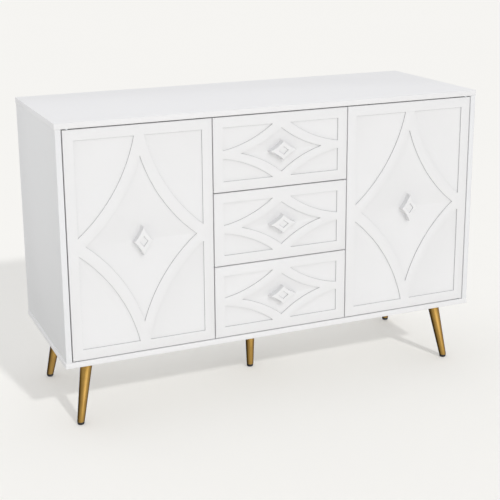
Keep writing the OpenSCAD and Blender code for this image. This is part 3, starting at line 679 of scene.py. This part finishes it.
# %% [markdown]
# ## The room's light
# The room is worked out from the direction that a ray looks in, and it differs by the kind of
# ray. Surfaces are lit by a soft fill, brighter overhead, from behind and a little from the left.
# Lacquer and metal mirror another room, as they do among cards and flags in a real studio:
# bright above eye level, and below it dark except for a broad card in front and a narrow one
# behind, which brightens the cabinet's flank. The picture's background is one flat pale tone.

# %% Room light
CARD_AZIMUTH, BACK_AZIMUTH = math.radians(9), math.radians(12)
world = bpy.data.worlds.new("studio")
bpy.context.scene.world = world
world.use_nodes = True
tree = world.node_tree
tree.nodes.clear()
direction = add(tree, "ShaderNodeTexCoord").outputs["Generated"]
axes = add(tree, "ShaderNodeSeparateXYZ", {0: direction})


def ramp(value, low, high, low_value, high_value):
    return add(tree, "ShaderNodeMapRange",
               {"Value": value, "From Min": low, "From Max": high, "To Min": low_value,
                "To Max": high_value}, interpolation_type="SMOOTHSTEP").outputs["Result"]


def times(a, b):
    return add(tree, "ShaderNodeMath", {0: a, 1: b}, operation="MULTIPLY").outputs[0]


def plus(a, b):
    return add(tree, "ShaderNodeMath", {0: a, 1: b}, operation="ADD").outputs[0]


def line(value, middle, gain):
    return add(tree, "ShaderNodeMath", {0: value, 1: gain, 2: middle},
               operation="MULTIPLY_ADD").outputs[0]


fill = times(times(line(axes.outputs["Z"], 0.55, 0.35), line(axes.outputs["Y"], 0.97, 0.36)),
             line(axes.outputs["X"], 1.0, -0.10))
ahead = plus(times(axes.outputs["Y"], -math.cos(CARD_AZIMUTH)),
             times(axes.outputs["X"], math.sin(CARD_AZIMUTH)))
behind = plus(times(axes.outputs["Y"], math.cos(BACK_AZIMUTH)),
              times(axes.outputs["X"], -math.sin(BACK_AZIMUTH)))
glow = plus(plus(ramp(ahead, -0.75, 0.75, 0.04, 1.0), ramp(ahead, 0.80, 0.968, 0.0, 1.7)),
            ramp(behind, 0.88, 0.965, 0.0, 0.65))
above = ramp(axes.outputs["Z"], -0.08, 0.12, 0.0, 1.0)
mirror = add(tree, "ShaderNodeMix", {0: above, 2: glow, 3: 0.85}, data_type="FLOAT").outputs[0]
rays = add(tree, "ShaderNodeLightPath")
strength = add(tree, "ShaderNodeMix", {0: rays.outputs["Is Glossy Ray"], 2: fill, 3: mirror},
               data_type="FLOAT").outputs[0]
lit = add(tree, "ShaderNodeBackground", {"Color": linear("#FEFEFF"), "Strength": strength})
seen = add(tree, "ShaderNodeBackground", {"Color": linear("#F4F3EF"), "Strength": 1.0})
both = add(tree, "ShaderNodeMixShader",
           {0: rays.outputs["Is Camera Ray"], 1: lit.outputs[0], 2: seen.outputs[0]})
add(tree, "ShaderNodeOutputWorld", {"Surface": both.outputs[0]})
print("room:", len(tree.nodes), "nodes")

# %% [markdown]
# ## Key lights
# Two keys shine from the same place, well above eye level and a little to the right of the front.
# The one for the floor is small, so that the shadow on it has a fairly crisp edge. The one for
# everything else is 40 degrees wide, so that the knobs hardly shade the boards beneath them. A
# light's reach is set by a collection that holds the floor, either as all it reaches or as all
# that it leaves out.

# %% Key light
KEY_AZIMUTH, KEY_ELEVATION = math.radians(9), math.radians(36)
towards = Vector((math.sin(KEY_AZIMUTH) * math.cos(KEY_ELEVATION),
                  -math.cos(KEY_AZIMUTH) * math.cos(KEY_ELEVATION), math.sin(KEY_ELEVATION)))


def key_light(name, energy, degrees_across, reaches_floor):
    key = bpy.data.lights.new(name, "SUN")
    key.energy, key.angle = energy, math.radians(degrees_across)
    key.color = (1.0, 0.995, 0.985)
    lamp = bpy.data.objects.new(name, key)
    lamp.rotation_mode = "QUATERNION"
    lamp.rotation_quaternion = towards.to_track_quat("Z", "Y")
    bpy.context.scene.collection.objects.link(lamp)
    reach = bpy.data.collections.new(name + "_reach")
    reach.objects.link(floor)
    state = "INCLUDE" if reaches_floor else "EXCLUDE"
    reach.collection_objects[0].light_linking.link_state = state
    lamp.light_linking.receiver_collection = reach


key_light("soft_key", energy=0.85, degrees_across=40, reaches_floor=False)
key_light("floor_key", energy=1.2, degrees_across=3, reaches_floor=True)
bpy.context.scene.view_settings.view_transform = "Standard"
print("key from", tuple(round(c, 2) for c in towards))

# %% [markdown]
# ## Camera
# A long lens looks down from the front left, 23 degrees off the cabinet's front and 15 degrees
# down, from about three metres away. A small vertical shift lessens how far the uprights
# converge.

# %% Camera
CAMERA_PLACE = Vector((-1.1961, -2.7824, 1.2928))
CAMERA_YAW, CAMERA_PITCH, CAMERA_ROLL = (math.radians(a) for a in (23.32, 14.571, -0.377))
lens = bpy.data.cameras.new("catalogue_camera")
lens.lens, lens.sensor_width = 79.42, 36.0
lens.shift_y = -0.1
lens.clip_start, lens.clip_end = 0.05, 200.0
camera = bpy.data.objects.new("catalogue_camera", lens)
forward = Vector((math.sin(CAMERA_YAW) * math.cos(CAMERA_PITCH),
                  math.cos(CAMERA_YAW) * math.cos(CAMERA_PITCH), -math.sin(CAMERA_PITCH)))
look = forward.to_track_quat("-Z", "Y").to_matrix().to_4x4()
camera.matrix_world = (Matrix.Translation(CAMERA_PLACE) @ look
                       @ Matrix.Rotation(CAMERA_ROLL, 4, "Z"))
bpy.context.scene.collection.objects.link(camera)
bpy.context.scene.camera = camera
print("camera", lens.lens, "mm at", tuple(round(c, 2) for c in camera.location))

# %% [markdown]
# ## Bringing the scene up to date
# The view layer is updated once more.

# %% Update the view layer
bpy.context.view_layer.update()
